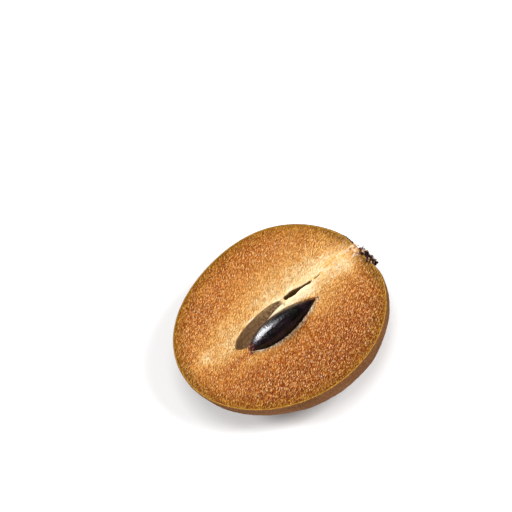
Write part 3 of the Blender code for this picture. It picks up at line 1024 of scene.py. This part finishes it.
def skin_material():
    """Matte scurfy skin, tan brown with fine dark specks; its cut edge is gold."""
    f = Finish("skin_scurfy")
    slow = f.noise(75.0, 3.0, 0.55)
    hue = f.noise(160.0, 2.0, 0.5)
    scurf = f.noise(2300.0, 2.0, 0.6)
    grain = f.noise(3000.0, 2.0, 0.6)
    f.base = f.mix(slow.spread(0.3, 0.7), (0.142, 0.050, 0.014), (0.228, 0.092, 0.029))
    patches = f.noise(330.0, 2.0, 0.6)
    f.paint(patches.spread(0.50, 0.66) * 0.25, (0.19, 0.064, 0.036))
    f.paint(patches.spread(0.48, 0.34) * 0.18, (0.22, 0.125, 0.042))
    f.paint(hue.spread(0.52, 0.68) * 0.3, (0.22, 0.080, 0.042))
    f.paint(scurf.spread(0.48, 0.72) * 0.6, (0.40, 0.22, 0.105))
    f.paint(scurf.spread(0.48, 0.30) * 0.5, (0.11, 0.046, 0.018))
    away, chance, _ = f.cells(1100.0)
    speck = away.spread(0.34, 0.12) * chance.spread(0.60, 0.75)
    f.paint(speck * 0.65, (0.11, 0.05, 0.028))
    f.paint(grain.spread(0.55, 0.75) * 0.35, (0.16, 0.08, 0.04))
    scar = f.value("scar")
    torn_scar = scar + (scurf - 0.5) * 1.2 * scar.spread(0.0, 0.3)
    f.paint(torn_scar.spread(0.40, 0.85) * 0.8, (0.060, 0.030, 0.020))
    gold = f.mix(scurf.spread(0.4, 0.6), (0.28, 0.135, 0.018), (0.44, 0.25, 0.035))
    f.paint(f.value("cut").spread(0.60, 0.80), gold)
    return f.surface(0.8, 0.02, Normal=f.bump(scurf * 0.6 + grain * 0.4, 0.0003, 0.8))


def seed_material():
    """A hard glossy coat, near black with a purple-brown tint, duller and redder at the base."""
    f = Finish("seed_coat_glossy")
    slow = f.noise(240.0, 3.0)
    streaks = f.noise(1.0, 3.0, 0.6, f.stretched((260.0, 1500.0, 1500.0)))
    f.base = f.mix(slow.spread(0.4, 0.7), (0.0035, 0.0028, 0.0024), (0.016, 0.006, 0.011))
    f.paint(streaks.spread(0.55, 0.8) * 0.5, (0.026, 0.011, 0.014))
    f.paint(f.value("base") * 0.8, (0.070, 0.020, 0.015))
    rough = streaks.spread(0.35, 0.75, 0.22, 0.36)
    normal = f.bump(streaks * 0.8 + f.noise(1300.0, 3.0, 0.6) * 0.9, 0.00015, 0.9)
    return f.surface(rough, 0.45, Normal=normal)


def beak_material():
    """Reddish-brown dried stalk tissue, a little moist, with painted pink glints on its bumps."""
    f = Finish("seed_beak_brown")
    rough = f.noise(1400.0, 3.0, 0.65)
    f.base = f.mix(rough.spread(0.38, 0.66), (0.030, 0.009, 0.007), (0.17, 0.045, 0.030))
    # Painted glints: pink flecks on the tops of the bumps.
    f.paint(rough.spread(0.62, 0.72) * 0.7, (0.62, 0.36, 0.24))
    return f.surface(0.4, 0.4, Normal=f.bump(rough, 0.0004))


def calyx_material():
    """Dry cork: near black and purple brown in the clefts, with tan crests."""
    f = Finish("calyx_cork")
    rough = f.noise(1100.0, 4.0, 0.7)
    f.base = f.mix(rough.spread(0.38, 0.62), (0.016, 0.008, 0.007), (0.085, 0.038, 0.028))
    f.paint(f.noise(420.0, 3.0).spread(0.54, 0.70) * 0.6, (0.21, 0.115, 0.065))
    return f.surface(0.9, 0.05, Normal=f.bump(rough, 0.0005))


def chips_material():
    """Dry crumbs, most of them dark purple brown, a few tan or cream."""
    f = Finish("calyx_crumbs")
    tint = f.value("tint")
    rough = f.noise(1900.0, 3.0, 0.65)
    f.base = f.mix(tint, (0.010, 0.005, 0.005), (0.060, 0.024, 0.022))
    f.paint(tint.spread(0.82, 0.86), (0.20, 0.10, 0.055))
    f.paint(tint.spread(0.95, 0.97), (0.58, 0.38, 0.22))
    f.paint(rough.spread(0.58, 0.75) * 0.4, (0.16, 0.085, 0.060))
    return f.surface(0.85, 0.15, Normal=f.bump(rough, 0.0003))


def fibre_material():
    """Dry pale fibre with darker grey brown stretches."""
    f = Finish("calyx_fibre")
    blotch = f.noise(900.0, 2.0, 0.6)
    f.base = f.mix(blotch.spread(0.4, 0.6), (0.20, 0.13, 0.095), (0.58, 0.43, 0.31))
    return f.surface(0.8, 0.2, Normal=f.bump(blotch, 0.0003))


def floor_material():
    """A white floor that glows a little, as a light table does, so that shadows on it stay soft."""
    f = Finish("floor_white")
    f.base = (0.50, 0.50, 0.50)
    return f.surface(0.9, 0.1, Emission_Color=(1.0, 1.0, 1.0), Emission_Strength=0.12)


def dress(piece, material, slot, *nodes):
    """The piece's material and body, with the nodes it stands for hidden; the slot is not used."""
    piece.data.materials.append(material)
    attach(piece, "root")
    if nodes:
        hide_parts(*nodes)


def add_floor():
    """A level white square under the fruit."""
    corners = FLOOR_REACH * np.array([(-1, -1, 0), (1, -1, 0), (1, 1, 0), (-1, 1, 0)])
    floor = make_mesh("floor", corners, [(0, 1, 2, 3)])
    floor.data.materials.append(floor_material())
    return floor


def placed(obj, location, right, up, back):
    """The object moved to its place, with its own axes along these directions."""
    matrix = np.eye(4)
    matrix[:3] = np.stack([right, up, back, location], axis=1)
    obj.matrix_world = Matrix(matrix.tolist())


def add_camera():
    """The photograph's view, from above the near side and rolled as the fruit lies there."""
    back = np.array([0.0, -math.cos(VIEW_ELEVATION), math.sin(VIEW_ELEVATION)])
    level_up = np.array([0.0, math.sin(VIEW_ELEVATION), math.cos(VIEW_ELEVATION)])
    level_right = np.array([1.0, 0.0, 0.0])
    right = math.cos(VIEW_ROLL) * level_right - math.sin(VIEW_ROLL) * level_up
    up = math.sin(VIEW_ROLL) * level_right + math.cos(VIEW_ROLL) * level_up
    off_right = (FACE_CENTRE_PIXEL[0] - IMAGE_SIDE / 2) * PIXEL_SIZE
    off_down = (FACE_CENTRE_PIXEL[1] - IMAGE_SIDE / 2) * PIXEL_SIZE
    target = np.array([*FACE_CENTRE, FACE_HEIGHT]) - off_right * right + off_down * up
    data = bpy.data.cameras.new("camera")
    data.lens = data.sensor_width * VIEW_DISTANCE / (IMAGE_SIDE * PIXEL_SIZE * MM)
    camera = add_object("camera", data)
    placed(camera, target * MM + back * VIEW_DISTANCE, right, up, back)
    bpy.context.scene.camera = camera


def add_softbox(name, towards, distance, side, watts, line=(1.0, 0.0, 0.0)):
    """A soft square light in this direction from the half, facing it, with two sides along the line."""
    data = bpy.data.lights.new(name, "AREA")
    data.size = side
    data.energy = watts
    light = add_object(name, data)
    back = unit(np.array(towards))
    right = unit(np.cross(line, back))
    placed(light, back * distance + np.array([0, 0, AIM_HEIGHT]), right, np.cross(back, right), back)
    return light


def light_only(light, pieces):
    """The light reaches these pieces and nothing else."""
    group = bpy.data.collections.new(light.name + "_pieces")
    for piece in pieces:
        group.objects.link(piece)
    light.light_linking.receiver_collection = group


def add_light(floor, fruit_pieces, seed):
    """Even white light, a light overhead, two on the floor alone, one on the fruit, one on the seed."""
    world = bpy.data.worlds.new("studio")
    world.use_nodes = True
    sky = world.node_tree.nodes["Background"]
    sky.inputs["Color"].default_value = (1.0, 1.0, 1.0, 1.0)
    sky.inputs["Strength"].default_value = WORLD_STRENGTH
    world.cycles_visibility.glossy = False
    bpy.context.scene.world = world
    overhead = add_softbox("overhead", *OVERHEAD)
    overhead.visible_glossy = False
    light_only(add_softbox("near_right", *NEAR_RIGHT), [floor])
    light_only(add_softbox("far_left", *FAR_LEFT), [floor])
    light_only(add_softbox("rake", *RAKE), fruit_pieces)
    strip = add_softbox("strip", *STRIP, STRIP_LINE)
    strip.visible_diffuse = False
    strip.data.color = STRIP_COLOUR
    light_only(strip, [seed])
    bpy.context.scene.view_settings.view_transform = "Standard"


add_camera()
floor = add_floor()
flesh = make_flesh()
skin = make_skin()
seed = make_seed()
beak = make_lumps("seed_beak", BEAK_LUMPS, 0.16, 101)
calyx = make_calyx()
chips = make_calyx_chips()
fibres = make_calyx_fibres()
stem_tissue = make_lumps("stem_tissue", STEM_LUMPS, 0.28, 141)
dress(flesh, flesh_material(), "flesh", "fruit_half")
dress(skin, skin_material(), "skin", "fruit_half")
dress(seed, seed_material(), "seed_coat", "seed")
dress(beak, beak_material(), "seed_coat")
dress(calyx, calyx_material(), "calyx", "calyx")
dress(chips, chips_material(), "calyx")
dress(fibres, fibre_material(), "calyx")
dress(stem_tissue, stem_tissue_material(), "flesh")
add_light(floor, [flesh, skin, seed, beak, calyx, chips, fibres, stem_tissue], seed)
